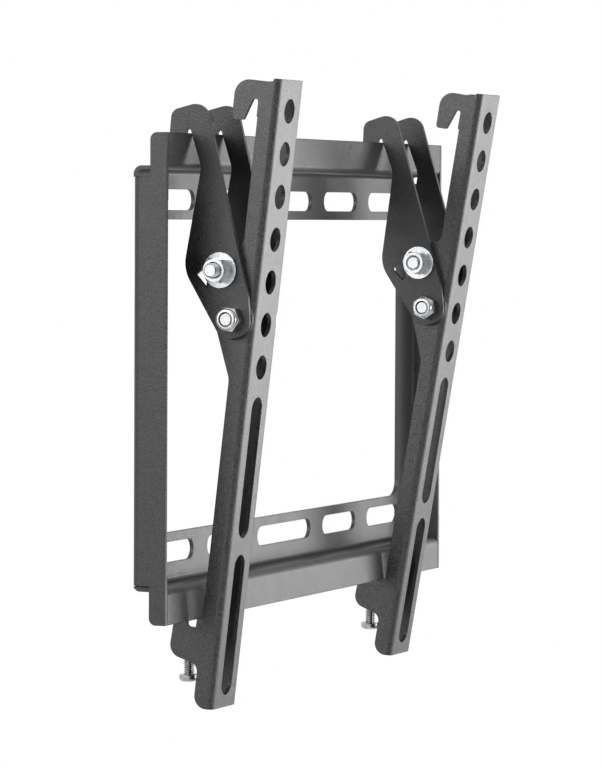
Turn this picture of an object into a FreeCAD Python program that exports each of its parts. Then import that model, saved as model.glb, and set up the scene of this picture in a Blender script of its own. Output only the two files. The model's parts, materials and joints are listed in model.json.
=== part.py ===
import FreeCAD
import Part
import Sketcher
import math
import os

# Tilting wall bracket for a small television: a folded wall plate, two channel arms,
# two pairs of hook plates with their bolts, and two retaining screws.
# Frame: origin on the wall face at the middle of the wall plate, +X to the right seen
# from the front, +Y into the wall, +Z up.

os.makedirs("parts", exist_ok=True)
doc = FreeCAD.newDocument("tilting_bracket")

# Driving sizes, millimetres and degrees
SIZES = [
    # Wall plate
    ("plate_width", 254.6),
    ("plate_height", 170.4),
    ("plate_depth", 13.3),
    ("sheet", 1.5),
    ("bend_outer", 3.0),
    ("rail_height", 12.9),
    ("band_height", 17.2),
    ("side_flange", 15.5),
    ("window_corner", 6.0),
    ("slot_height", 7.3),
    ("slot_rise", 7.0),
    ("long_slot", 48.9),
    ("short_slot", 32.2),
    ("slot_gap", 11.5),
    ("upper_tab_drop", 15.5),
    ("lower_tab_drop", 13.5),
    ("tab_back", 7.0),
    ("tab_corner", 2.5),
    ("rail_end_gap", 0.3),
    ("rail_inset", 1.3),
    # Linkage
    ("hook_reach", 66.2),
    ("lip_seat", 0.4),
    ("left_tilt", 6.58),
    ("right_tilt", 9.63),
    ("most_tilt", 10.0),
    ("left_lip_back", 10.7),
    ("right_lip_back", 7.94),
    ("left_inset", 33.2),
    ("right_inset", 48.1),
    # Channel arms
    ("arm_width", 21.0),
    ("arm_flange", 7.2),
    ("arm_bend", 2.5),
    ("arm_top", 10.9),
    ("inner_hook_trim", 1.4),
    ("arm_foot", 28.2),
    ("pivot_drop", 73.6),
    ("pivot_back", 7.3),
    ("belly_back", 19.6),
    ("notch_room", 0.5),
    ("notch_back", 12.9),
    ("lobe_back", 18.8),
    ("hole_dia", 8.5),
    ("hole_pitch", 15.0),
    ("hole_count", 7),
    ("arm_slot_length", 50.0),
    ("arm_slot_first", 125.5),
    ("arm_slot_step", 56.0),
    # Hook plates
    ("hook_gap", 1.5),
    ("hook_crown", 9.9),
    ("hook_front", 8.8),
    ("hook_belly", 13.6),
    ("hook_foot", 6.6),
    ("apex_room", 1.6),
    ("arc_radius", 17.5),
    ("arc_clearance", 0.5),
    ("arc_room_back", 0.15),
    ("arc_room_front", 2.9),
    # Fasteners
    ("bolt_dia", 5.0),
    ("pivot_clearance", 0.05),
    ("lock_angle", 20.4),
    ("nut_flats", 8.0),
    ("lock_nut_height", 4.0),
    ("nyloc_height", 5.2),
    ("head_height", 3.5),
    ("washer_dia", 12.4),
    ("washer_height", 1.0),
    ("spring_height", 1.2),
    ("spacer_dia", 14.4),
    ("inner_spacer_dia", 11.0),
    ("bore_countersink", 0.45),
    ("bolt_proud", 1.6),
    # Retaining screws
    ("screw_dia", 3.9),
    ("screw_length", 16.0),
    ("screw_head_dia", 7.0),
    ("screw_head_height", 2.5),
    ("screw_lean", 8.0),
    ("screw_drop", 12.4),
    ("tab_drop", 5.9),
    ("screw_back", 15.6),
    ("screw_side", -2.0),
]

sheet = doc.addObject("Spreadsheet::Sheet", "dims")
for row, (name, value) in enumerate(SIZES, 1):
    sheet.set("A%d" % row, name)
    sheet.set("B%d" % row, str(value))
    sheet.setAlias("B%d" % row, name)
doc.recompute()


def size(name):
    return float(getattr(sheet, name))


def vec(x, y):
    return FreeCAD.Vector(x, y, 0)


# Sketch and feature helpers

def new_body(name):
    body = doc.addObject("PartDesign::Body", name)
    body.Label = name
    return body


def new_sketch(body, plane, name, rise=None, side=None, lean=None):
    sketch = body.newObject("Sketcher::SketchObject", name)
    base = [f for f in body.Origin.OriginFeatures if f.Role == plane][0]
    sketch.AttachmentSupport = [(base, "")]
    sketch.MapMode = "FlatFace"
    if rise is not None:
        sketch.setExpression("AttachmentOffset.Base.z", rise)
    if side is not None:
        sketch.setExpression("AttachmentOffset.Base.y", side)
    if lean is not None:
        sketch.AttachmentOffset = FreeCAD.Placement(
            FreeCAD.Vector(), FreeCAD.Rotation(FreeCAD.Vector(1, 0, 0), -1))
        sketch.setExpression("AttachmentOffset.Rotation.Angle", lean)
    return sketch


def corner_arc(before, corner, after, radius):
    to_before = (before - corner).normalize()
    to_after = (after - corner).normalize()
    half = to_before.getAngle(to_after) / 2
    reach = radius / math.tan(half)
    bisector = (to_before + to_after).normalize()
    centre = corner + bisector * (radius / math.sin(half))
    start = corner + to_before * reach
    end = corner + to_after * reach
    middle = centre - bisector * radius
    return start, middle, end


def add_outline(sketch, corners):
    # Closed outline through the corners (x, y, radius), each rounded by its radius
    count = len(corners)
    places = [vec(c[0], c[1]) for c in corners]
    arcs = []
    for i in range(count):
        if corners[i][2] > 0:
            arc = corner_arc(places[i - 1], places[i], places[(i + 1) % count], corners[i][2])
            arcs.append(arc)
        else:
            arcs.append((places[i], None, places[i]))
    for i in range(count):
        start, middle, end = arcs[i]
        if middle is not None:
            sketch.addGeometry(Part.Arc(start, middle, end), False)
        following = arcs[(i + 1) % count][0]
        if (following - end).Length > 1e-6:
            sketch.addGeometry(Part.LineSegment(end, following), False)


def add_circle(sketch, x, y, diameter_expression):
    index = sketch.addGeometry(Part.Circle(vec(x, y), FreeCAD.Vector(0, 0, 1), 1.0), False)
    number = sketch.addConstraint(Sketcher.Constraint("Diameter", index, 2.0))
    sketch.setExpression("Constraints[%d]" % number, diameter_expression)


def add_obround(sketch, x, y, length, width, upright=False):
    r = width / 2
    across, along = length / 2, r
    if upright:
        across, along = r, length / 2
    add_outline(sketch, [(x - across, y - along, r), (x + across, y - along, r),
                         (x + across, y + along, r), (x - across, y + along, r)])


def pad(body, sketch, name, length, symmetric=False, reverse=False):
    feature = body.newObject("PartDesign::Pad", name)
    feature.Profile = sketch
    feature.Midplane = symmetric
    feature.Reversed = reverse
    feature.setExpression("Length", length)
    sketch.Visibility = False
    return feature


def pocket(body, sketch, name, length):
    # Cuts equally to both sides of the sketch plane
    feature = body.newObject("PartDesign::Pocket", name)
    feature.Profile = sketch
    feature.Midplane = True
    feature.setExpression("Length", length)
    sketch.Visibility = False
    doc.recompute()
    if feature.Shape.Volume >= feature.BaseFeature.Shape.Volume - 1e-3:
        raise RuntimeError("pocket removed nothing: " + name)
    return feature


def fillet(body, base, name, edges, radius):
    feature = body.newObject("PartDesign::Fillet", name)
    feature.Base = (base, edges)
    feature.setExpression("Radius", radius)
    doc.recompute()
    return feature


# Places of the linkage, as expressions in the cells. The hooks seat on the upper lip;
# their swing follows from the arm's tilt and from where the lower lip lies in its notch
SEAT_Y = "(-dims.plate_depth + dims.sheet / 2)"
SEAT_Z = "(dims.plate_height / 2 - dims.lip_seat)"
SEAT_TO_LOWER_LIP = "(dims.plate_height - dims.lip_seat)"
NEAR_LIP = "min(dims.left_lip_back; dims.right_lip_back)"


def offset_expression(lip_back, tilt):
    # How far the seat lies in front of the pivot, square to the arm
    across = "%s - dims.pivot_back + dims.sheet / 2 * cos(%s)" % (lip_back, tilt)
    return "(%s + %s * sin(%s))" % (across, SEAT_TO_LOWER_LIP, tilt)


def floor_expression():
    # The lower lip is deepest in the notch at the most tilt
    tilt = "dims.most_tilt * 1deg"
    offset = offset_expression(NEAR_LIP, tilt)
    rise = "dims.hook_reach * cos(asin(%s / dims.hook_reach))" % offset
    return "(dims.pivot_drop - %s + %s * cos(%s) + dims.notch_room)" % (rise, SEAT_TO_LOWER_LIP, tilt)


NOTCH_FLOOR = floor_expression()
ARM_BOTTOM = "(%s + dims.arm_foot)" % NOTCH_FLOOR
TAB_HEIGHT = "(%s + dims.tab_drop)" % NOTCH_FLOOR


def seat_to_lower_lip():
    return size("plate_height") - size("lip_seat")


def near_lip():
    return min(size("left_lip_back"), size("right_lip_back"))


def spread(tilt):
    # Angle between arm and hook plate at a tilt, with the lip nearest the web
    angle = math.radians(tilt)
    across = near_lip() - size("pivot_back") + size("sheet") / 2 * math.cos(angle)
    return math.asin((across + seat_to_lower_lip() * math.sin(angle)) / size("hook_reach"))


def notch_floor():
    most = size("most_tilt")
    rise = size("hook_reach") * math.cos(spread(most))
    down = seat_to_lower_lip() * math.cos(math.radians(most))
    return size("pivot_drop") - rise + down + size("notch_room")


def arm_bottom():
    return notch_floor() + size("arm_foot")


def swing_expression(side):
    tilt = "dims.%s_tilt * 1deg" % side
    offset = offset_expression("dims.%s_lip_back" % side, tilt)
    return "(asin(%s / dims.hook_reach) - %s)" % (offset, tilt)


def pivot_place(side):
    swing = swing_expression(side)
    y = "(%s - dims.hook_reach * sin(%s))" % (SEAT_Y, swing)
    z = "(%s - dims.hook_reach * cos(%s))" % (SEAT_Z, swing)
    return y, z


def arm_point(side, back, up):
    # World place of the arm's local point (back, up), both expressions
    tilt = "dims.%s_tilt * 1deg" % side
    y, z = pivot_place(side)
    back_rel = "(%s - dims.pivot_back)" % back
    up_rel = "(%s + dims.pivot_drop)" % up
    py = "%s + %s * cos(%s) - %s * sin(%s)" % (y, back_rel, tilt, up_rel, tilt)
    pz = "%s + %s * sin(%s) + %s * cos(%s)" % (z, back_rel, tilt, up_rel, tilt)
    return py, pz


def place(thing, x, y, z, angle):
    start = FreeCAD.Rotation(FreeCAD.Vector(1, 0, 0), 1)
    thing.Placement = FreeCAD.Placement(FreeCAD.Vector(), start)
    thing.setExpression("Placement.Base.x", x)
    thing.setExpression("Placement.Base.y", y)
    thing.setExpression("Placement.Base.z", z)
    thing.setExpression("Placement.Rotation.Angle", angle)


def centre(side):
    if side == "left":
        return "dims.left_inset - dims.plate_width / 2"
    return "dims.plate_width / 2 - dims.right_inset"


def lock_point(side):
    back = "dims.pivot_back + dims.arc_radius * sin(dims.lock_angle * 1deg)"
    up = "-dims.pivot_drop + dims.arc_radius * cos(dims.lock_angle * 1deg)"
    return arm_point(side, "(" + back + ")", "(" + up + ")")


# Wall plate: one sheet with a window, folded forward at the sides and folded
# forward and outward at the top and bottom to make the two rails

def build_wall_plate():
    body = new_body("wall_plate")
    half_wide = size("plate_width") / 2
    half_high = size("plate_height") / 2
    deep = size("plate_depth")
    thick = size("sheet")
    outer = size("bend_outer")
    inner = outer - thick
    shelf = half_high - size("rail_height")
    side_top = half_high - size("upper_tab_drop")
    side_low = -half_high + size("lower_tab_drop")
    back = size("tab_back")

    section = new_sketch(body, "YZ_Plane", "rail_section")
    upper = [(0, shelf + thick, outer), (-deep + thick, shelf + thick, inner),
             (-deep + thick, half_high, 0.3), (-deep, half_high, 0.3),
             (-deep, shelf, outer), (-thick, shelf, inner)]
    lower = [(y, -z, r) for y, z, r in reversed(upper)]
    add_outline(section, upper + lower)
    pad(body, section, "rails_and_back", "dims.plate_width - 2 * dims.rail_inset", symmetric=True)

    sides = new_sketch(body, "XZ_Plane", "side_cut")
    for sign in (-1, 1):
        near = sign * (half_wide - outer)
        far = sign * (half_wide + 2)
        add_outline(sides, [(near, side_low - 0.4, 0), (far, side_low - 0.4, 0),
                            (far, side_top + 0.1, 0), (near, side_top + 0.1, 0)])
    pocket(body, sides, "side_clearance", "2 * dims.plate_depth + 8")

    ends = new_sketch(body, "XY_Plane", "rail_end_cut")
    for sign in (-1, 1):
        near = sign * (half_wide - thick - size("rail_end_gap"))
        far = sign * (half_wide + 2)
        add_outline(ends, [(near, -deep - 2, 0), (far, -deep - 2, 0), (far, -back, 0), (near, -back, 0)])
    pocket(body, ends, "rail_ends", "dims.plate_height + 10")

    walls = new_sketch(body, "XY_Plane", "side_section", rise="-dims.plate_height / 2 + dims.lower_tab_drop")
    for sign in (-1, 1):
        add_outline(walls, [(sign * (half_wide - outer), 0, 0), (sign * half_wide, 0, outer),
                            (sign * half_wide, -deep, 0.3), (sign * (half_wide - thick), -deep, 0.3),
                            (sign * (half_wide - thick), -thick, inner),
                            (sign * (half_wide - outer), -thick, 0)])
    pad(body, walls, "side_walls", "dims.plate_height - dims.upper_tab_drop - dims.lower_tab_drop")

    for name, rise in (("left_tabs", "-dims.plate_width / 2"), ("right_tabs", "dims.plate_width / 2 - dims.sheet")):
        tabs = new_sketch(body, "YZ_Plane", name + "_outline", rise=rise)
        corner = size("tab_corner")
        for root, end in ((side_top - 8, half_high), (side_low + 8, -half_high)):
            add_outline(tabs, [(-deep, root, 0), (-deep, end, 0.3), (-back, end, corner), (-back, root, 0)])
        pad(body, tabs, name, "dims.sheet")

    window = new_sketch(body, "XZ_Plane", "window_outline")
    wide = half_wide - size("side_flange")
    high = shelf - size("band_height")
    r = size("window_corner")
    add_outline(window, [(-wide, -high, r), (wide, -high, r), (wide, high, r), (-wide, high, r)])
    pocket(body, window, "window", "2 * dims.plate_depth - 6")

    slots = new_sketch(body, "XZ_Plane", "slot_outlines")
    row = high + size("slot_rise")
    long_slot = size("long_slot")
    short_slot = size("short_slot")
    gap = size("slot_gap")
    first = long_slot / 2 + gap + short_slot / 2
    second = first + short_slot + gap
    for z in (-row, row):
        add_obround(slots, 0, z, long_slot, size("slot_height"))
        for x in (-second, -first, first, second):
            add_obround(slots, x, z, short_slot, size("slot_height"))
    pocket(body, slots, "wall_slots", "4 * dims.sheet")
    return body


# Channel arm: one folded channel with the television holes in its web and
# the hook, belly and bottom lobe cut into both flanges

def arm_outline():
    flange = size("arm_flange")
    top = size("arm_top")
    bottom = arm_bottom()
    belly = size("belly_back")
    drop = size("pivot_drop")
    floor = notch_floor()
    notch = size("notch_back")
    lobe = size("lobe_back")
    return [
        (-2, top, 0), (2.4, top, 0.6), (2.9, top - 1.3, 0.3),
        (flange + 9.7, top - 1.3, 5.5), (flange + 9.6, top - 15.6, 1.3), (flange + 5.2, top - 15.5, 0.8),
        (flange + 0.35, top - 2.4, 1.15), (flange + 0.35, top - 13.7, 0.1), (flange, top - 13.9, 0.2),
        (flange, -drop + 26.3, 3.0), (belly, -drop + 20.6, 4.5), (belly, -drop + 9.2, 5.0),
        (flange, -drop - 21.0, 6.0),
        (flange, -floor, 0.9), (notch, -floor, 1.0), (notch + 0.5, -floor + 7.6, 0.8),
        (lobe - 1.0, -floor + 7.9, 1.6), (lobe, -floor - 10.6, 4.6), (flange, -floor - 13.0, 3.2),
        (flange, -bottom, 4.5), (-2, -bottom + 0.4, 0),
    ]


def build_arm(side):
    body = new_body(side + "_arm")
    wide = size("arm_width") / 2
    thick = size("sheet")
    drop = size("pivot_drop")
    back = size("pivot_back")

    section = new_sketch(body, "XY_Plane", side + "_arm_section", rise="0 - " + ARM_BOTTOM)
    bend = size("arm_bend")
    deep = size("belly_back") + 4
    add_outline(section, [(-wide, deep, 0), (-wide, 0, bend), (wide, 0, bend), (wide, deep, 0),
                          (wide - thick, deep, 0), (wide - thick, thick, bend - thick),
                          (thick - wide, thick, bend - thick), (thick - wide, deep, 0)])
    pad(body, section, side + "_arm_channel", ARM_BOTTOM + " + dims.arm_top")

    trim = new_sketch(body, "YZ_Plane", side + "_arm_outline")
    add_outline(trim, [(-6, -arm_bottom() - 6, 0), (deep + 6, -arm_bottom() - 6, 0),
                       (deep + 6, size("arm_top") + 6, 0), (-6, size("arm_top") + 6, 0)])
    add_outline(trim, arm_outline())
    pocket(body, trim, side + "_arm_trim", "dims.arm_width + 8")

    # The top hook of the inner flange is a little shorter
    short = new_sketch(body, "YZ_Plane", side + "_arm_inner_hook", rise="(dims.arm_width - dims.sheet) / 2")
    edge = size("arm_flange") + 9.6 - size("inner_hook_trim")
    add_outline(short, [(edge, size("arm_top") - 17.5, 0), (edge + 8, size("arm_top") - 17.5, 0),
                        (edge + 8, size("arm_top") + 2, 0), (edge, size("arm_top") + 2, 0)])
    pocket(body, short, side + "_arm_inner_hook_end", "3 * dims.sheet")

    hole = new_sketch(body, "XZ_Plane", side + "_arm_hole")
    add_circle(hole, 0, 0, "dims.hole_dia")
    first = pocket(body, hole, side + "_arm_first_hole", "4 * dims.sheet")
    row = body.newObject("PartDesign::LinearPattern", side + "_arm_hole_row")
    row.Originals = [first]
    row.Direction = (hole, ["V_Axis"])
    row.Reversed = True
    row.setExpression("Length", "dims.hole_pitch * (dims.hole_count - 1)")
    row.setExpression("Occurrences", "dims.hole_count")
    body.Tip = row
    doc.recompute()

    slots = new_sketch(body, "XZ_Plane", side + "_arm_slot_outlines")
    for i in range(2):
        middle = -size("arm_slot_first") - i * size("arm_slot_step")
        add_obround(slots, 0, middle, size("arm_slot_length"), size("hole_dia"), upright=True)
    pocket(body, slots, side + "_arm_slots", "4 * dims.sheet")

    pivot = new_sketch(body, "YZ_Plane", side + "_arm_bolt_holes")
    add_circle(pivot, back, -drop, "dims.bolt_dia + 2 * dims.pivot_clearance")
    angle = math.radians(size("lock_angle"))
    radius = size("arc_radius")
    add_circle(pivot, back + radius * math.sin(angle), -drop + radius * math.cos(angle),
               "dims.bolt_dia + 2 * dims.pivot_clearance")
    pocket(body, pivot, side + "_arm_bolts", "dims.arm_width + 4")

    # Tab folded in from the inner flange for the retaining screw
    lean = math.radians(size("screw_lean"))
    along = vec(math.cos(lean), -math.sin(lean))
    normal = vec(math.sin(lean), math.cos(lean))
    middle = vec(size("screw_back"), -notch_floor() - size("tab_drop"))
    tab = new_sketch(body, "YZ_Plane", side + "_arm_tab_outline", rise="-dims.arm_width / 2 + dims.sheet + 0.8")
    ends = [middle - along * 5.4 - normal * 0.75, middle + along * 3.5 - normal * 0.75,
            middle + along * 3.5 + normal * 0.75, middle - along * 5.4 + normal * 0.75]
    add_outline(tab, [(p.x, p.y, 0.2) for p in ends])
    pad(body, tab, side + "_arm_tab", "dims.arm_width - 2 * dims.sheet - 0.3")
    bore = new_sketch(body, "XY_Plane", side + "_arm_tab_bore", rise="0 - " + TAB_HEIGHT,
                      side="dims.screw_back", lean="0 - dims.screw_lean")
    bore.setExpression("AttachmentOffset.Base.x", "dims.screw_side")
    add_circle(bore, 0, 0, "dims.screw_dia + 0.12")
    pocket(body, bore, side + "_arm_tab_hole", "8")

    y, z = arm_point(side, "0", "0")
    place(body, centre(side), y, z, "dims.%s_tilt" % side)
    return body


# Hook plate: flat plate that hangs on the upper rail, with the pivot hole at its
# foot and the arc slot for the lock bolt

def hook_outline():
    top = size("hook_reach") + size("hook_crown")
    front = size("hook_front")
    belly = size("hook_belly")
    foot = size("hook_foot")
    apex = size("hook_reach") + size("apex_room")
    return [
        (-front, top, 5.5), (4.6, top, 3.5), (10.8, apex - 9.4, 1.2), (5.5, apex - 10.4, 1.2),
        (-0.7, apex + 3.1, 0.9), (-1.6, apex - 13.8, 8.0), (belly, 21.3, 12.0),
        (5.4, -foot, 5.8), (-front + 3.0, -foot, 5.8), (-front + 0.8, 6.0, 14.0),
    ]


def add_arc_slot(sketch):
    radius = size("arc_radius")
    half = size("bolt_dia") / 2 + size("arc_clearance")
    bolt = math.asin(size("bolt_dia") / 2 / radius)
    locked = math.radians(size("lock_angle"))
    back = locked - spread(0) + bolt + math.radians(size("arc_room_back"))
    front = locked - spread(size("most_tilt")) - bolt - math.radians(size("arc_room_front"))
    middle = (back + front) / 2

    def at(r, angle):
        return vec(r * math.sin(angle), r * math.cos(angle))

    low = radius - half
    high = radius + half
    sketch.addGeometry(Part.Arc(at(low, front), at(low, middle), at(low, back)), False)
    sketch.addGeometry(Part.LineSegment(at(low, back), at(high, back)), False)
    sketch.addGeometry(Part.Arc(at(high, back), at(high, middle), at(high, front)), False)
    sketch.addGeometry(Part.LineSegment(at(high, front), at(low, front)), False)


def build_hook(side, which):
    name = "%s_%s_hook" % (side, which)
    body = new_body(name)
    if which == "outer":
        rise = "-dims.arm_width / 2 - dims.hook_gap - dims.sheet"
    else:
        rise = "dims.arm_width / 2 + dims.hook_gap"
    outline = new_sketch(body, "YZ_Plane", name + "_outline", rise=rise)
    add_outline(outline, hook_outline())
    pad(body, outline, name + "_plate", "dims.sheet")
    holes = new_sketch(body, "YZ_Plane", name + "_cuts")
    add_circle(holes, 0, 0, "dims.bolt_dia + 2 * dims.pivot_clearance")
    add_arc_slot(holes)
    pocket(body, holes, name + "_holes", "dims.arm_width + 20")
    y, z = pivot_place(side)
    place(body, centre(side), y, z, "-1 * " + swing_expression(side))
    return body


# Fasteners, each on its own axis along X

def add_hexagon(sketch, flats):
    reach = flats / 2 / math.cos(math.radians(30))
    corners = []
    for i in range(6):
        angle = math.radians(60 * i)
        corners.append((reach * math.cos(angle), reach * math.sin(angle), 0))
    add_outline(sketch, corners)


def turn_away(body, name, corners):
    # Removes what the closed outline sweeps in one turn about the X axis
    cut = new_sketch(body, "XY_Plane", name + "_turning")
    add_outline(cut, corners)
    groove = body.newObject("PartDesign::Groove", name + "_cut")
    groove.Profile = cut
    groove.ReferenceAxis = (cut, ["H_Axis"])
    groove.Angle = 360
    cut.Visibility = False
    doc.recompute()
    return groove


def chamfer_corners(body, name, face, outward, flats):
    # Turns the hexagon's corners down to a cone at its outer face
    reach = flats / 2
    return turn_away(body, name + "_corners", [
        (face, reach * 0.99, 0), (face + outward * 1.0, reach * 0.99, 0),
        (face + outward * 1.0, reach * 1.3, 0), (face - outward * 0.75, reach * 1.3, 0)])


def countersink(body, name, face):
    # Cone at the outer mouth of a nut's bore, with the nut to the right of the face
    bore = size("bolt_dia") / 2 + 0.03
    deep = size("bore_countersink")
    return turn_away(body, name + "_mouth", [
        (face - 0.5, bore - 0.4, 0), (face + deep, bore - 0.4, 0), (face + deep, bore, 0),
        (face, bore + deep, 0), (face - 0.5, bore + deep, 0)])


STACK = "dims.arm_width / 2 + dims.hook_gap + dims.sheet"


def stack():
    return size("arm_width") / 2 + size("hook_gap") + size("sheet")


def build_bolt(name, side, point, tip):
    body = new_body(name)
    shank = new_sketch(body, "YZ_Plane", name + "_shank_circle", rise="0 - (%s)" % tip)
    add_circle(shank, 0, 0, "dims.bolt_dia")
    pad(body, shank, name + "_shank", "%s + %s" % (tip, STACK))
    head = new_sketch(body, "YZ_Plane", name + "_head_hexagon", rise=STACK)
    add_hexagon(head, size("nut_flats"))
    pad(body, head, name + "_head", "dims.head_height")
    turned = chamfer_corners(body, name, stack() + size("head_height"), 1, size("nut_flats"))
    tip_edges = []
    for number, edge in enumerate(turned.Shape.Edges, 1):
        if edge.BoundBox.XMax < turned.Shape.BoundBox.XMin + 0.01:
            tip_edges.append("Edge%d" % number)
    chamfer = body.newObject("PartDesign::Chamfer", name + "_point")
    chamfer.Base = (turned, tip_edges)
    chamfer.Size = 0.5
    doc.recompute()
    y, z = point
    place(body, centre(side), y, z, "dims.%s_tilt" % side)
    return body


def build_ring(name, side, point, rise, height, outer, inner, split=False, centred=True):
    body = new_body(name)
    sketch = new_sketch(body, "YZ_Plane", name + "_circles", rise=rise)
    add_circle(sketch, 0, 0, outer)
    add_circle(sketch, 0, 0, inner)
    pad(body, sketch, name + "_ring", height)
    if split:
        gap = new_sketch(body, "YZ_Plane", name + "_split_outline")
        add_outline(gap, [(1.0, -0.4, 0), (9.0, -0.4, 0), (9.0, 0.4, 0), (1.0, 0.4, 0)])
        pocket(body, gap, name + "_split", "80")
    y, z = point
    place(body, centre(side), y, z, "dims.%s_tilt" % side)
    return body


def build_nut(name, side, point, face, height, collar=None):
    # face is the distance of the nut's seat from the arm's middle plane
    body = new_body(name)
    hexagon = new_sketch(body, "YZ_Plane", name + "_hexagon", rise="0 - (%s) - %s" % (face[0], height[0]))
    add_hexagon(hexagon, size("nut_flats"))
    add_circle(hexagon, 0, 0, "dims.bolt_dia + 0.06")
    pad(body, hexagon, name + "_body", height[0])
    chamfer_corners(body, name, -face[1] - height[1], -1, size("nut_flats"))
    if collar:
        ring = new_sketch(body, "YZ_Plane", name + "_collar_circles",
                          rise="0 - (%s) - dims.nyloc_height" % face[0])
        add_circle(ring, 0, 0, "dims.nut_flats - 0.5")
        add_circle(ring, 0, 0, "dims.bolt_dia + 0.06")
        top = pad(body, ring, name + "_collar", "dims.nyloc_height - (%s)" % height[0])
        doc.recompute()
        edges = []
        for number, edge in enumerate(top.Shape.Edges, 1):
            box = edge.BoundBox
            if box.XMax < top.Shape.BoundBox.XMin + 0.01 and box.YLength > size("bolt_dia") + 1:
                edges.append("Edge%d" % number)
        fillet(body, top, name + "_collar_round", edges, "0.7")
        countersink(body, name, -face[1] - size("nyloc_height"))
    else:
        countersink(body, name, -face[1] - height[1])
    y, z = point
    place(body, centre(side), y, z, "dims.%s_tilt" % side)
    return body


# Retaining screw: pan head below the lobe, shank up through the tab

def build_screw(side):
    name = side + "_retaining_screw"
    body = new_body(name)
    profile = new_sketch(body, "YZ_Plane", name + "_profile")
    head = size("screw_head_dia") / 2
    tall = size("screw_head_height")
    shank = size("screw_dia") / 2
    long_end = size("screw_length")
    add_outline(profile, [(0, -tall, 0), (head, -tall, 1.3), (head, 0, 0.2), (shank, 0, 0),
                          (shank, long_end - 0.5, 0), (shank - 0.5, long_end, 0), (0, long_end, 0)])
    turned = body.newObject("PartDesign::Revolution", name + "_turned")
    turned.Profile = profile
    turned.ReferenceAxis = (profile, ["V_Axis"])
    turned.Angle = 360
    profile.Visibility = False
    doc.recompute()
    recess = new_sketch(body, "XY_Plane", name + "_recess_outline", rise="0 - dims.screw_head_height")
    a = 0.45
    b = 2.0
    add_outline(recess, [(-a, -b, 0), (a, -b, 0), (a, -a, 0), (b, -a, 0), (b, a, 0), (a, a, 0),
                         (a, b, 0), (-a, b, 0), (-a, a, 0), (-b, a, 0), (-b, -a, 0), (-a, -a, 0)])
    pocket(body, recess, name + "_recess", "2.8")
    drop_y = "(dims.screw_back - dims.screw_drop * sin(dims.screw_lean * 1deg))"
    drop_z = "(0 - %s - dims.screw_drop * cos(dims.screw_lean * 1deg))" % TAB_HEIGHT
    y, z = arm_point(side, drop_y, drop_z)
    place(body, centre(side) + " + dims.screw_side", y, z, "dims.%s_tilt - dims.screw_lean" % side)
    return body


parts = [build_wall_plate()]
for side in ("left", "right"):
    pivot = pivot_place(side)
    lock = lock_point(side)
    parts.append(build_arm(side))
    parts.append(build_hook(side, "outer"))
    parts.append(build_hook(side, "inner"))
    parts.append(build_bolt(side + "_pivot_bolt", side, pivot,
                            "%s + dims.nyloc_height + dims.bolt_proud" % STACK))
    parts.append(build_nut(side + "_pivot_nut", side, pivot, (STACK, stack()), ("3.7", 3.7), collar=True))
    parts.append(build_ring(side + "_outer_spacer", side, pivot, "0 - dims.arm_width / 2 - dims.hook_gap",
                            "dims.hook_gap", "dims.spacer_dia", "dims.bolt_dia + 0.1"))
    parts.append(build_ring(side + "_inner_spacer", side, pivot, "dims.arm_width / 2",
                            "dims.hook_gap", "dims.inner_spacer_dia", "dims.bolt_dia + 0.1"))
    parts.append(build_bolt(side + "_lock_bolt", side, lock,
                            "%s + dims.washer_height + dims.spring_height + dims.lock_nut_height"
                            " + dims.bolt_proud * 0.5" % STACK))
    parts.append(build_ring(side + "_lock_washer", side, lock, "0 - (%s) - dims.washer_height" % STACK,
                            "dims.washer_height", "dims.washer_dia", "dims.bolt_dia + 0.3"))
    parts.append(build_ring(side + "_spring_washer", side, lock,
                            "0 - (%s) - dims.washer_height - dims.spring_height" % STACK,
                            "dims.spring_height", "dims.bolt_dia + 3.8", "dims.bolt_dia + 0.3", split=True))
    seat = ("%s + dims.washer_height + dims.spring_height" % STACK,
            stack() + size("washer_height") + size("spring_height"))
    parts.append(build_nut(side + "_lock_nut", side, lock, seat,
                           ("dims.lock_nut_height", size("lock_nut_height"))))
    parts.append(build_screw(side))

doc.recompute()

for thing in doc.Objects:
    if "Invalid" in thing.State or "Error" in thing.State:
        raise RuntimeError("not built: " + thing.Name)
for body in parts:
    shape = body.Shape
    if shape.isNull() or not shape.isValid() or len(shape.Solids) != 1:
        raise RuntimeError("bad shape: %s, %d solids" % (body.Label, len(shape.Solids)))
    shape.exportStep("parts/%s.step" % body.Label)
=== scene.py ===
import json
import math

import bmesh
import bpy
from mathutils import Matrix, Vector


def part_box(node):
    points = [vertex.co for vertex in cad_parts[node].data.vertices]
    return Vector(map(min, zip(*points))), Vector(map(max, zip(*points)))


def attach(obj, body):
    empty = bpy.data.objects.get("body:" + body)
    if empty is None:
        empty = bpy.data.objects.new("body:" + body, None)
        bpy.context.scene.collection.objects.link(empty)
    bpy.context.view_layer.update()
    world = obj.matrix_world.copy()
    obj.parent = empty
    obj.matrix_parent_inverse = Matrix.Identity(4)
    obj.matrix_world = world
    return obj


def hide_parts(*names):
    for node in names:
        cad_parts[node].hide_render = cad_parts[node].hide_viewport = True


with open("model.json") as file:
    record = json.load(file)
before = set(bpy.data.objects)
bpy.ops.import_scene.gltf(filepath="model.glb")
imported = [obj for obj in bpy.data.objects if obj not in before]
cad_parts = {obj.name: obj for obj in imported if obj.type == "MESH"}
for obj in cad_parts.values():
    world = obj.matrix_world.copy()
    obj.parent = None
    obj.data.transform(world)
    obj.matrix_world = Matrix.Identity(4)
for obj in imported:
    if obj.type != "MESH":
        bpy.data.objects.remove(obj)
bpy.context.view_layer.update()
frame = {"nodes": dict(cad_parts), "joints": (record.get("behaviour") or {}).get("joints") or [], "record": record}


# Viewpoint. The bracket is seen from its left side and a little from the front, with the
# camera about a metre and a half away and just above the middle of the wall plate.

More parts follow.
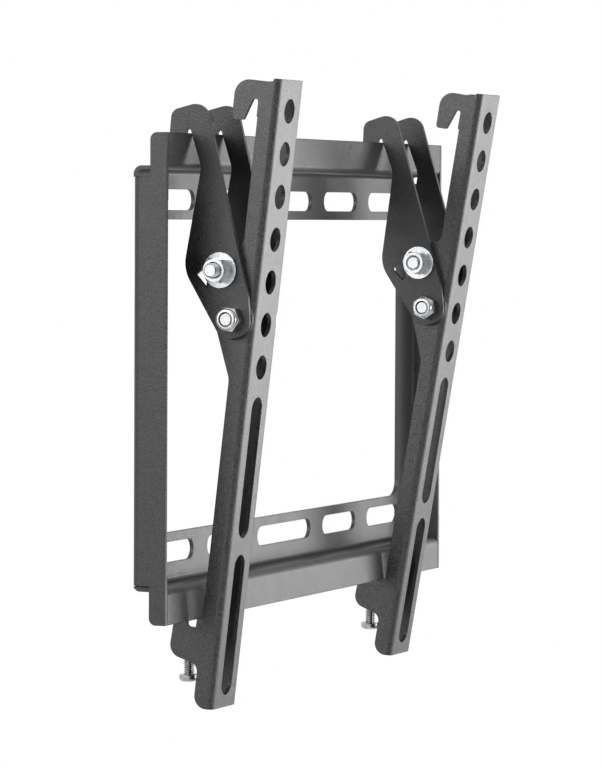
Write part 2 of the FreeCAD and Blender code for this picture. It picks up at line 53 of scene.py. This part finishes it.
CAMERA_PLACE = (-1.35414, -0.60446, 0.0567)
CAMERA_YAW = 66.2228
CAMERA_PITCH = -2.4446
CAMERA_ROLL = 0.28
# The focal length and the picture's width are in pixels
FOCAL_LENGTH = 3955.05
PICTURE_WIDTH = 601
SENSOR_WIDTH = 36


def camera_axes(yaw, pitch, roll):
    # The camera's right, up and back; the yaw turns from +Y towards +X
    forward = Vector((math.sin(yaw) * math.cos(pitch), math.cos(yaw) * math.cos(pitch),
                      math.sin(pitch)))
    level = Vector((math.cos(yaw), -math.sin(yaw), 0))
    up = level.cross(forward)
    right = level * math.cos(roll) + up * math.sin(roll)
    return right, right.cross(forward), -forward


right, up, back = camera_axes(math.radians(CAMERA_YAW), math.radians(CAMERA_PITCH),
                              math.radians(CAMERA_ROLL))
camera = bpy.data.objects.new("camera", bpy.data.cameras.new("camera"))
camera.matrix_world = Matrix((
    (right.x, up.x, back.x, CAMERA_PLACE[0]),
    (right.y, up.y, back.y, CAMERA_PLACE[1]),
    (right.z, up.z, back.z, CAMERA_PLACE[2]),
    (0, 0, 0, 1)))
camera.data.sensor_fit = "HORIZONTAL"
camera.data.sensor_width = SENSOR_WIDTH
camera.data.lens = FOCAL_LENGTH / PICTURE_WIDTH * SENSOR_WIDTH
camera.data.clip_start = 0.05
bpy.context.scene.collection.objects.link(camera)
bpy.context.scene.camera = camera
bpy.context.scene.view_settings.view_transform = "Standard"


# Wall plate: 1.5 mm steel sheet, punched and folded, with a dark grey powder coat. The coat is
# sprayed on as powder and baked: a satin skin with a fine grain, rounded over every cut edge.

MM = 0.001
# Grains of baked powder are about 0.1 mm across, and are drawn larger so that they show
GRAIN_SIZE = 0.5 * MM
# The coat runs thicker and thinner in slow swells
SWELL_SIZE = 7 * MM
SWELL_DEPTH = 0.8 * MM
EDGE_ROUNDING = 0.3 * MM
ROUGHNESS_SPREAD = 0.09


def linear(code):
    value = int(code.lstrip("#"), 16)
    parts = [(value >> shift & 255) / 255 for shift in (16, 8, 0)]
    return [c / 12.92 if c <= 0.04045 else ((c + 0.055) / 1.055) ** 2.4 for c in parts] + [1.0]


def add_node(tree, kind, settings=(), inputs=(), links=()):
    # One node with its settings, its input values and its links (input, from node, output)
    node = tree.nodes.new(kind)
    for name, value in settings:
        setattr(node, name, value)
    for name, value in inputs:
        node.inputs[name].default_value = value
    for name, source, output in links:
        tree.links.new(source.outputs[output], node.inputs[name])
    return node


def new_material(name):
    material = bpy.data.materials.new(name)
    material.use_nodes = True
    material.node_tree.nodes.clear()
    return material, material.node_tree


def powder_coated_steel(name, dark, light, rough_from, grain_depth):
    material, tree = new_material(name)
    place = add_node(tree, "ShaderNodeTexCoord")
    grain = add_node(tree, "ShaderNodeTexNoise", [],
                     [("Scale", 1 / GRAIN_SIZE), ("Detail", 3.0), ("Roughness", 0.6)],
                     [("Vector", place, "Object")])
    swell = add_node(tree, "ShaderNodeTexNoise", [],
                     [("Scale", 1 / SWELL_SIZE), ("Detail", 2.0)],
                     [("Vector", place, "Object")])
    speck = add_node(tree, "ShaderNodeMapRange", [],
                     [("From Min", 0.35), ("From Max", 0.68)],
                     [("Value", grain, "Fac")])
    tone = add_node(tree, "ShaderNodeMix", [("data_type", "RGBA")],
                    [(6, linear(dark)), (7, linear(light))],
                    [(0, speck, "Result")])
    rough = add_node(tree, "ShaderNodeMapRange", [],
                     [("To Min", rough_from), ("To Max", rough_from + ROUGHNESS_SPREAD)],
                     [("Value", swell, "Fac")])
    edge = add_node(tree, "ShaderNodeBevel", [("samples", 4)], [("Radius", EDGE_ROUNDING)])
    soft = add_node(tree, "ShaderNodeBump", [],
                    [("Strength", 0.12), ("Distance", SWELL_DEPTH)],
                    [("Height", swell, "Fac"), ("Normal", edge, "Normal")])
    fine = add_node(tree, "ShaderNodeBump", [],
                    [("Strength", 0.7), ("Distance", grain_depth)],
                    [("Height", grain, "Fac"), ("Normal", soft, "Normal")])
    skin = add_node(tree, "ShaderNodeBsdfPrincipled", [], [("IOR", 1.5)],
                    [("Base Color", tone, 2), ("Roughness", rough, "Result"),
                     ("Normal", fine, "Normal")])
    add_node(tree, "ShaderNodeOutputMaterial", [], [], [("Surface", skin, "BSDF")])
    return material


def paint(names, material):
    for name in names:
        for slot in frame["nodes"][name].material_slots:
            slot.material = material


paint(["wall_plate"],
      powder_coated_steel("powder_coated_steel_plate", "#181819", "#373738", 0.36, 0.1 * MM))


# Hook plates: flat laser-cut plates, two to an arm, that hang over the upper rail. They carry the same coat as the
# plate and the arms, with its tone painted slightly darker on them as painted shade.
# The inner plate's foot is trimmed along the back of the arm's web, which hides it.

FOOT_DEPTH = 5.1

hook_coat_painted_darker = powder_coated_steel("powder_coated_steel_hooks_painted_shade", "#101011", "#2b2b2c", 0.28,
                                0.22 * MM)
paint(["left_outer_hook", "right_outer_hook"], hook_coat_painted_darker)


def new_piece(name, mesh, material, body, smooth_under=40):
    mesh.normal_update()
    data = bpy.data.meshes.new(name)
    mesh.to_mesh(data)
    mesh.free()
    data.materials.append(material)
    data.set_sharp_from_angle(angle=math.radians(smooth_under))
    piece = bpy.data.objects.new(name, data)
    bpy.context.scene.collection.objects.link(piece)
    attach(piece, body)
    return piece


def cut_off(mesh, place, outward, dist):
    # Takes away all that lies beyond a plane, and leaves the cut open
    bmesh.ops.bisect_plane(mesh, geom=mesh.verts[:] + mesh.edges[:] + mesh.faces[:], dist=dist,
                           plane_co=place, plane_no=outward, clear_outer=True)


def close_open_rims(mesh):
    rims = [edge for edge in mesh.edges if edge.is_boundary]
    bmesh.ops.holes_fill(mesh, edges=rims, sides=0)


def arm_lean(side):
    # The arm's lean at rest, from the direction in which its lower television slot faces
    for mount in frame["record"]["mounts"]:
        if mount["name"] == side + "_television_hole_centre":
            return math.atan2(-mount["axis"][2], -mount["axis"][1])
    raise ValueError("no television hole on the " + side)


for side in ("left", "right"):
    low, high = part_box(side + "_pivot_bolt")
    lean = arm_lean(side)
    outward = Vector((0, -math.cos(lean), -math.sin(lean)))
    mesh = bmesh.new()
    mesh.from_mesh(frame["nodes"][side + "_inner_hook"].data)
    bmesh.ops.remove_doubles(mesh, verts=mesh.verts, dist=0.001 * MM)
    cut_off(mesh, (low + high) / 2 + outward * FOOT_DEPTH * MM, outward, 0.0001 * MM)
    close_open_rims(mesh)
    bmesh.ops.recalc_face_normals(mesh, faces=mesh.faces)
    plate = new_piece(side + "_inner_hook_trimmed", mesh, hook_coat_painted_darker, side + "_hooks",
                      30)
    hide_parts(side + "_inner_hook")


# Arms: channels pressed from the same 1.5 mm sheet, with the holes for the television punched
# before folding. They are coated once folded, with a slightly glossier powder than the plate's.

# The arms' tone is painted a little lighter than the hook plates', as painted light on their flanges.
paint(["left_arm", "right_arm"],
      powder_coated_steel("powder_coated_steel_arms_painted_light", "#0e0e0f", "#424243", 0.25, 0.13 * MM))


# Spacers: moulded black nylon washers that keep the hook plates off the arm at the pivot,
# so that coat doesn't rub on coat. Nylon is waxy, with a faint bloom from the mould.

BLOOM_SIZE = 0.6 * MM


def moulded_nylon(name):
    material, tree = new_material(name)
    place = add_node(tree, "ShaderNodeTexCoord")
    bloom = add_node(tree, "ShaderNodeTexNoise", [],
                     [("Scale", 1 / BLOOM_SIZE), ("Detail", 3.0)],
                     [("Vector", place, "Object")])
    tone = add_node(tree, "ShaderNodeMix", [("data_type", "RGBA")],
                    [(6, linear("#141415")), (7, linear("#202022"))],
                    [(0, bloom, "Fac")])
    rough = add_node(tree, "ShaderNodeMapRange", [],
                     [("To Min", 0.5), ("To Max", 0.62)],
                     [("Value", bloom, "Fac")])
    fine = add_node(tree, "ShaderNodeBump", [],
                    [("Strength", 0.2), ("Distance", 0.05 * MM)],
                    [("Height", bloom, "Fac")])
    skin = add_node(tree, "ShaderNodeBsdfPrincipled", [], [("IOR", 1.53)],
                    [("Base Color", tone, 2), ("Roughness", rough, "Result"),
                     ("Normal", fine, "Normal")])
    add_node(tree, "ShaderNodeOutputMaterial", [], [], [("Surface", skin, "BSDF")])
    return material


nylon = moulded_nylon("moulded_black_nylon")
paint([side + piece for side in ("left", "right") for piece in ("_outer_spacer", "_inner_spacer")],
      nylon)


# Lock nuts and washers: pressed and stamped steel with a bright zinc plate, a pale cool metal
# with a soft gloss and a faint cloudy look from the passivation bath.

CLOUD_SIZE = 1.5 * MM
PRESSED_GRAIN_SIZE = 0.3 * MM


def zinc_plated_steel(name, dark, light):
    material, tree = new_material(name)
    place = add_node(tree, "ShaderNodeTexCoord")
    cloud = add_node(tree, "ShaderNodeTexNoise", [],
                     [("Scale", 1 / CLOUD_SIZE), ("Detail", 4.0)],
                     [("Vector", place, "Object")])
    grain = add_node(tree, "ShaderNodeTexNoise", [],
                     [("Scale", 1 / PRESSED_GRAIN_SIZE), ("Detail", 2.0)],
                     [("Vector", place, "Object")])
    patch = add_node(tree, "ShaderNodeMapRange", [],
                     [("From Min", 0.3), ("From Max", 0.7)],
                     [("Value", cloud, "Fac")])
    tone = add_node(tree, "ShaderNodeMix", [("data_type", "RGBA")],
                    [(6, linear(dark)), (7, linear(light))],
                    [(0, patch, "Result")])
    rough = add_node(tree, "ShaderNodeMapRange", [],
                     [("To Min", 0.2), ("To Max", 0.34)],
                     [("Value", cloud, "Fac")])
    fine = add_node(tree, "ShaderNodeBump", [],
                    [("Strength", 0.12), ("Distance", 0.05 * MM)],
                    [("Height", grain, "Fac")])
    skin = add_node(tree, "ShaderNodeBsdfPrincipled", [], [("Metallic", 1.0)],
                    [("Base Color", tone, 2), ("Roughness", rough, "Result"),
                     ("Normal", fine, "Normal")])
    add_node(tree, "ShaderNodeOutputMaterial", [], [], [("Surface", skin, "BSDF")])
    return material


zinc = zinc_plated_steel("bright_zinc_plated_steel", "#b4b6b8", "#caccce")
paint([side + piece for side in ("left", "right")
       for piece in ("_lock_nut", "_lock_washer", "_spring_washer")], zinc)


# Pivot and lock bolts: M5, cold-headed from wire, with rolled threads. The hexagon is pressed
# and then turned, so that its corners end in the curved edges of a cone. Sizes in millimetres.

BOLT_RADIUS = 2.5
BOLT_FLATS = 8.0
BOLT_PITCH = 0.8
BOLT_POINT = 0.5
HEAD_HEIGHT = 3.5
HEAD_CHAMFER = 0.5
# Radius of the head's flat top, as a share of the width across flats
HEAD_FACE = 0.47
# How far a turned blank stands out beyond the corners of the hexagon milled from it
BLANK_EXTRA = 0.1
THREAD_LENGTH = 7.5
# How far a thread stays inside the screw's full radius
THREAD_INSIDE = 0.01
# The thread's depth and the ends of the flats at its root and its crest, as shares of its pitch
THREAD_DEPTH = 0.61
ROOT_END = 0.25
CREST_START = 0.56
CREST_END = 0.69
# The plain shank starts inside the thread, narrower by its taper, and ends inside the head
SHANK_IN_THREAD = 0.4
SHANK_TAPER = 0.3
THREAD_RUNOUT = 0.1
SHANK_IN_HEAD = 0.1
# The photograph shows the left lock bolt's end further out than the right one's
LOCK_BOLT_EXTRA = {"left": 2.1, "right": -0.7}
# How far the pivot bolt's point lies inside the mouth of its nut
PIVOT_POINT_INSIDE = 0.05
# Vertices nearer than this to a cutting plane count as on it
ON_PLANE = 0.0001


def profile_line(mesh, points):
    # Open line of (radius, height) points in the XZ plane, ready to be spun round Z
    line = [mesh.verts.new((radius, 0, height)) for radius, height in points]
    edges = [mesh.edges.new(pair) for pair in zip(line, line[1:])]
    return line + edges


def turned_shape(points, steps=64):
    mesh = bmesh.new()
    bmesh.ops.spin(mesh, geom=profile_line(mesh, points), cent=(0, 0, 0), axis=(0, 0, 1),
                   dvec=(0, 0, 0), angle=2 * math.pi, steps=steps, use_merge=True)
    bmesh.ops.remove_doubles(mesh, verts=mesh.verts, dist=0.001)
    bmesh.ops.recalc_face_normals(mesh, faces=mesh.faces)
    return mesh


def rolled_thread(radius, pitch, low, high, point, steps=36):
    # One flank line is spun with a lift of one pitch a turn, then cut off square at both ends
    mesh = bmesh.new()
    root = radius - THREAD_DEPTH * pitch
    line = []
    for i in range(math.ceil((high - low) / pitch) + 3):
        base = low + (i - 2) * pitch
        line += [(root, base), (root, base + pitch * ROOT_END),
                 (radius, base + pitch * CREST_START), (radius, base + pitch * CREST_END)]
    bmesh.ops.spin(mesh, geom=profile_line(mesh, line), cent=(0, 0, 0), axis=(0, 0, 1),
                   dvec=(0, 0, pitch / steps), angle=2 * math.pi, steps=steps)
    bmesh.ops.remove_doubles(mesh, verts=mesh.verts, dist=0.002)
    cut_off(mesh, (0, 0, low), (0, 0, -1), ON_PLANE)
    cut_off(mesh, (0, 0, high), (0, 0, 1), ON_PLANE)
    close_open_rims(mesh)
    bmesh.ops.recalc_face_normals(mesh, faces=mesh.faces)
    # The point is turned down to a short cone
    for vert in mesh.verts:
        most = radius - point + (vert.co.z - low)
        reach = math.hypot(vert.co.x, vert.co.y)
        if reach > most:
            vert.co.x *= most / reach
            vert.co.y *= most / reach
    return mesh


def blank_radius(flats):
    return flats / 2 / math.cos(math.radians(30)) + BLANK_EXTRA


def mill_flats(mesh, flats, turn):
    # Six flats, the first of them at 30 degrees from +X, plus the turn
    for i in range(6):
        angle = math.radians(60 * i + 30 + turn)
        outward = Vector((math.cos(angle), math.sin(angle), 0))
        cut_off(mesh, outward * flats / 2, outward, ON_PLANE)
        close_open_rims(mesh)


def hexagon_head(flats, low, high):
    blank = blank_radius(flats)
    mesh = turned_shape([(0, low), (blank, low), (blank, high - HEAD_CHAMFER),
                         (flats * HEAD_FACE, high), (0, high)])
    mill_flats(mesh, flats, 0)
    return mesh


def join_in(mesh, other):
    data = bpy.data.meshes.new("part")
    other.to_mesh(data)
    other.free()
    mesh.from_mesh(data)
    bpy.data.meshes.remove(data)


def axis_along_x(tip, y, z, tilt):
    # Takes a shape made along +Z, with its tip at 0, to the bolt's place, in metres
    return (Matrix.Translation((tip, y, z)) @ Matrix.Rotation(tilt, 4, "X")
            @ Matrix.Rotation(math.radians(90), 4, "Y") @ Matrix.Scale(MM, 4))


def hexagon_bolt(length):
    # Its point is at 0, and its head ends at the length
    under_head = length - HEAD_HEIGHT
    shank_start = THREAD_LENGTH - SHANK_IN_THREAD
    shank_end = under_head + SHANK_IN_HEAD
    mesh = rolled_thread(BOLT_RADIUS - THREAD_INSIDE, BOLT_PITCH, 0, THREAD_LENGTH, BOLT_POINT)
    join_in(mesh, turned_shape([(0, shank_start), (BOLT_RADIUS - SHANK_TAPER, shank_start),
                                (BOLT_RADIUS, THREAD_LENGTH + THREAD_RUNOUT),
                                (BOLT_RADIUS, shank_end), (0, shank_end)]))
    join_in(mesh, hexagon_head(BOLT_FLATS, under_head, length))
    return mesh


for side in ("left", "right"):
    for name, body in (("_pivot_bolt", "_hooks"), ("_lock_bolt", "_arm_group")):
        low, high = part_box(side + name)
        middle = (low + high) / 2
        if name == "_pivot_bolt":
            low.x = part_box(side + "_pivot_nut")[0].x + PIVOT_POINT_INSIDE * MM
        else:
            low.x -= LOCK_BOLT_EXTRA[side] * MM
        place = axis_along_x(low.x, middle.y, middle.z, arm_lean(side))
        mesh = hexagon_bolt((high.x - low.x) / MM)
        bmesh.ops.transform(mesh, matrix=place, verts=mesh.verts)
        bolt = new_piece(side + name + "_threaded", mesh, zinc, side + body, 30)
        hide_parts(side + name)


# Pivot nuts: a hexagon with a round collar, which holds a ring of black nylon in its mouth.
# The ring grips the bolt's thread, so that the pivot stays free without working loose.
# Heights are in millimetres from the mouth, and turns in degrees, as the photograph shows them.

NUT_HEIGHT = 5.2
NUT_CHAMFER = 0.4
NUT_BORE = 2.53
NUT_TURN = {"left": 37, "right": -5}
COLLAR_RADIUS = 3.75
COLLAR_HEIGHT = 1.5
COLLAR_ROUNDING = 0.7
# From the collar, a cone this high widens to the hexagon's corners
SHOULDER_HEIGHT = 0.5
NUT_FACE_RADIUS = COLLAR_RADIUS + 0.2
MOUTH_RADIUS = 2.65
MOUTH_DEPTH = 1.0
# The nylon ring lies in the mouth, 0.01 clear of its wall
RING_INNER = 2.54
RING_OUTER = 2.64
RING_FROM = 0.5
RING_TO = 0.95


def rounded_rim(radius, rounding):
    # Quarter circle, from the flat end at height 0 out to the full radius
    turns = [math.radians(angle) for angle in range(0, 91, 15)]
    return [(radius - rounding + rounding * math.sin(turn), rounding - rounding * math.cos(turn))
            for turn in turns]


def collared_nut(turn):
    blank = blank_radius(BOLT_FLATS)
    mesh = turned_shape([(MOUTH_RADIUS, 0)] + rounded_rim(COLLAR_RADIUS, COLLAR_ROUNDING) + [
        (COLLAR_RADIUS, COLLAR_HEIGHT), (blank, COLLAR_HEIGHT + SHOULDER_HEIGHT),
        (blank, NUT_HEIGHT - NUT_CHAMFER), (NUT_FACE_RADIUS, NUT_HEIGHT),
        (NUT_BORE, NUT_HEIGHT), (NUT_BORE, MOUTH_DEPTH), (MOUTH_RADIUS, MOUTH_DEPTH),
        (MOUTH_RADIUS, 0)])
    mill_flats(mesh, BOLT_FLATS, turn)
    return mesh


for side in ("left", "right"):
    low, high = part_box(side + "_pivot_nut")
    middle = (low + high) / 2
    place = axis_along_x(low.x, middle.y, middle.z, 0)
    mesh = collared_nut(NUT_TURN[side])
    bmesh.ops.transform(mesh, matrix=place, verts=mesh.verts)
    nut = new_piece(side + "_pivot_nut_collared", mesh, zinc, side + "_hooks", 30)
    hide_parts(side + "_pivot_nut")
    # A collared lock nut does hold a nylon ring, and this ring's black also stands in for the shade in the nut's
    # mouth, as painted shade.
    ring = turned_shape([(RING_INNER, RING_FROM), (RING_INNER, RING_TO), (RING_OUTER, RING_TO),
                         (RING_OUTER, RING_FROM), (RING_INNER, RING_FROM)])
    bmesh.ops.transform(ring, matrix=place, verts=ring.verts)
    new_piece(side + "_nut_insert", ring, nylon, side + "_hooks")


# Retaining screws: M4 pan heads with a cross recess, threaded to the head. Each is screwed up
# through the tab in its arm's lobe once the arm hangs on both rails. Sizes in millimetres.

SCREW_RADIUS = 1.95
SCREW_PITCH = 0.7
SCREW_LENGTH = 16.0
SCREW_POINT = 0.4
PAN_RADIUS = 3.5
PAN_HEIGHT = 2.5
PAN_ROUNDING = 1.3
PAN_CHAMFER = 0.2
RECESS_WIDTH = 0.85
RECESS_REACH = 2.0
RECESS_DEPTH = 1.5
# Length and width of a blade of the recess at its bottom, as shares of those at its mouth
RECESS_NARROWING = (0.45, 0.8, 1)
# A leaning head's rim dips by this share of what a sharp rim would, because it is rounded
RIM_DIP = 0.6

dull_zinc = zinc_plated_steel("dull_zinc_plated_steel", "#85878a", "#b9bbbd")


def object_from(mesh, name):
    data = bpy.data.meshes.new(name)
    mesh.to_mesh(data)
    mesh.free()
    piece = bpy.data.objects.new(name, data)
    bpy.context.scene.collection.objects.link(piece)
    return piece


def cross_cutter(wide, reach, deep):
    # Two crossed blades that narrow towards the bottom of the recess
    mesh = bmesh.new()
    for turn in (0, 90):
        blade = bmesh.ops.create_cube(mesh, size=1)["verts"]
        bmesh.ops.scale(mesh, verts=blade, vec=(2 * reach, wide, 2 * deep))
        top = [vert for vert in blade if vert.co.z > 0]
        bmesh.ops.scale(mesh, verts=top, vec=RECESS_NARROWING)
        bmesh.ops.rotate(mesh, verts=blade, cent=(0, 0, 0),
                         matrix=Matrix.Rotation(math.radians(turn), 3, "Z"))
    return mesh


def pan_head():
    # The head as it hangs, with its rounded face at height 0 and the recess cut up into it
    profile = [(0, 0)] + rounded_rim(PAN_RADIUS, PAN_ROUNDING) + [
        (PAN_RADIUS, PAN_HEIGHT - PAN_CHAMFER), (PAN_RADIUS - PAN_CHAMFER, PAN_HEIGHT),
        (0, PAN_HEIGHT)]
    head = object_from(turned_shape(profile), "pan_head")
    cutter = object_from(cross_cutter(RECESS_WIDTH, RECESS_REACH, RECESS_DEPTH), "recess")
    cut = head.modifiers.new("recess", "BOOLEAN")
    cut.operation = "DIFFERENCE"
    cut.solver = "EXACT"
    cut.use_self = True
    cut.object = cutter
    finished = head.evaluated_get(bpy.context.evaluated_depsgraph_get())
    shaped = bpy.data.meshes.new_from_object(finished)
    mesh = bmesh.new()
    mesh.from_mesh(shaped)
    bpy.data.objects.remove(head)
    bpy.data.objects.remove(cutter)
    bpy.data.meshes.remove(shaped)
    return mesh


def screw_lean(side):
    # The screw's axis is the direction of its travel
    for joint in frame["joints"]:
        if joint["name"] == side + "_screw_travel":
            return math.atan2(-joint["axis"][1], joint["axis"][2])
    raise ValueError("no screw travel on the " + side)


for side in ("left", "right"):
    low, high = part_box(side + "_retaining_screw")
    lean = screw_lean(side)
    # The thread is made point down, and turned over to stand on the head point up
    mesh = rolled_thread(SCREW_RADIUS - THREAD_INSIDE, SCREW_PITCH, -SCREW_LENGTH, 0, SCREW_POINT)
    bmesh.ops.rotate(mesh, verts=mesh.verts, cent=(0, 0, 0),
                     matrix=Matrix.Rotation(math.pi, 3, "X"))
    bmesh.ops.translate(mesh, verts=mesh.verts, vec=(0, 0, PAN_HEIGHT))
    join_in(mesh, pan_head())
    foot = Vector(((low.x + high.x) / 2,
                   low.y + PAN_RADIUS * MM + max(0, math.sin(lean)) * PAN_HEIGHT * MM,
                   low.z + abs(math.sin(lean)) * PAN_RADIUS * MM * RIM_DIP))
    place = Matrix.Translation(foot) @ Matrix.Rotation(lean, 4, "X") @ Matrix.Scale(MM, 4)
    bmesh.ops.transform(mesh, matrix=place, verts=mesh.verts)
    screw = new_piece(side + "_retaining_screw_threaded", mesh, dull_zinc, side + "_screw",
                      30)
    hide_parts(side + "_retaining_screw")


# Light: two long soft boxes low at the front, of which the right one glances off the fronts and
# the left one only fills in, a small one behind the left for the flanges, and a pale surround.
# Reflections see the surround's unlit side, left of the front, which darkens the arms' bends.

AIM = Vector((0, 0, 0))
SURROUND_FILL = 0.3
# Azimuth of the unlit side, in degrees from +X, the cosines of the angles from it where its
# shade starts and is full, and the share of the surround that the full shade takes away
UNLIT_AZIMUTH = 245
SHADE_START = 0.6
SHADE_FULL = 0.9
SHADE_DEPTH = 0.85


def soft_box(name, place, wide, high, watts):
    light = bpy.data.objects.new(name, bpy.data.lights.new(name, "AREA"))
    light.data.shape = "RECTANGLE"
    light.data.size = wide
    light.data.size_y = high
    light.data.energy = watts
    turn = (AIM - Vector(place)).to_track_quat("-Z", "Y")
    light.matrix_world = Matrix.Translation(place) @ turn.to_matrix().to_4x4()
    bpy.context.scene.collection.objects.link(light)
    return light


soft_box("front_right_soft_box", (0.9, -1.15, -0.09), 1.7, 0.5, 15)
fill = soft_box("front_left_soft_box", (-0.5, -1.2, -0.13), 1.3, 0.5, 24)
fill.visible_glossy = False
soft_box("left_back_soft_box", (-1.45, 0.6, 0.56), 0.9, 0.9, 12)

world = bpy.data.worlds.new("pale_surround")
bpy.context.scene.world = world
world.use_nodes = True
air = world.node_tree
air.nodes.clear()
path = add_node(air, "ShaderNodeLightPath")
direct = add_node(air, "ShaderNodeMath", [("operation", "MAXIMUM")], [],
                  [(0, path, "Is Camera Ray"), (1, path, "Is Glossy Ray")])
through = add_node(air, "ShaderNodeMath", [("operation", "MAXIMUM")], [],
                   [(0, direct, "Value"), (1, path, "Is Transmission Ray")])
level = add_node(air, "ShaderNodeMapRange", [],
                 [("To Min", SURROUND_FILL), ("To Max", 1.0)],
                 [("Value", through, "Value")])
coords = add_node(air, "ShaderNodeTexCoord")
unlit_turn = math.radians(UNLIT_AZIMUTH)
unlit = add_node(air, "ShaderNodeVectorMath", [("operation", "DOT_PRODUCT")],
                 [(1, (math.cos(unlit_turn), math.sin(unlit_turn), 0))],
                 [(0, coords, "Generated")])
shade = add_node(air, "ShaderNodeMapRange", [("interpolation_type", "SMOOTHSTEP")],
                 [("From Min", SHADE_START), ("From Max", SHADE_FULL),
                  ("To Min", 0.0), ("To Max", SHADE_DEPTH)],
                 [("Value", unlit, "Value")])
gloss_shade = add_node(air, "ShaderNodeMath", [("operation", "MULTIPLY")], [],
                       [(0, shade, "Result"), (1, path, "Is Glossy Ray")])
left_over = add_node(air, "ShaderNodeMath", [("operation", "SUBTRACT")],
                     [(0, 1.0)],
                     [(1, gloss_shade, "Value")])
strength = add_node(air, "ShaderNodeMath", [("operation", "MULTIPLY")], [],
                    [(0, level, "Result"), (1, left_over, "Value")])
surround = add_node(air, "ShaderNodeBackground", [],
                    [("Color", (1, 1, 1, 1))],
                    [("Strength", strength, "Value")])
add_node(air, "ShaderNodeOutputWorld", [], [], [("Surface", surround, "Background")])
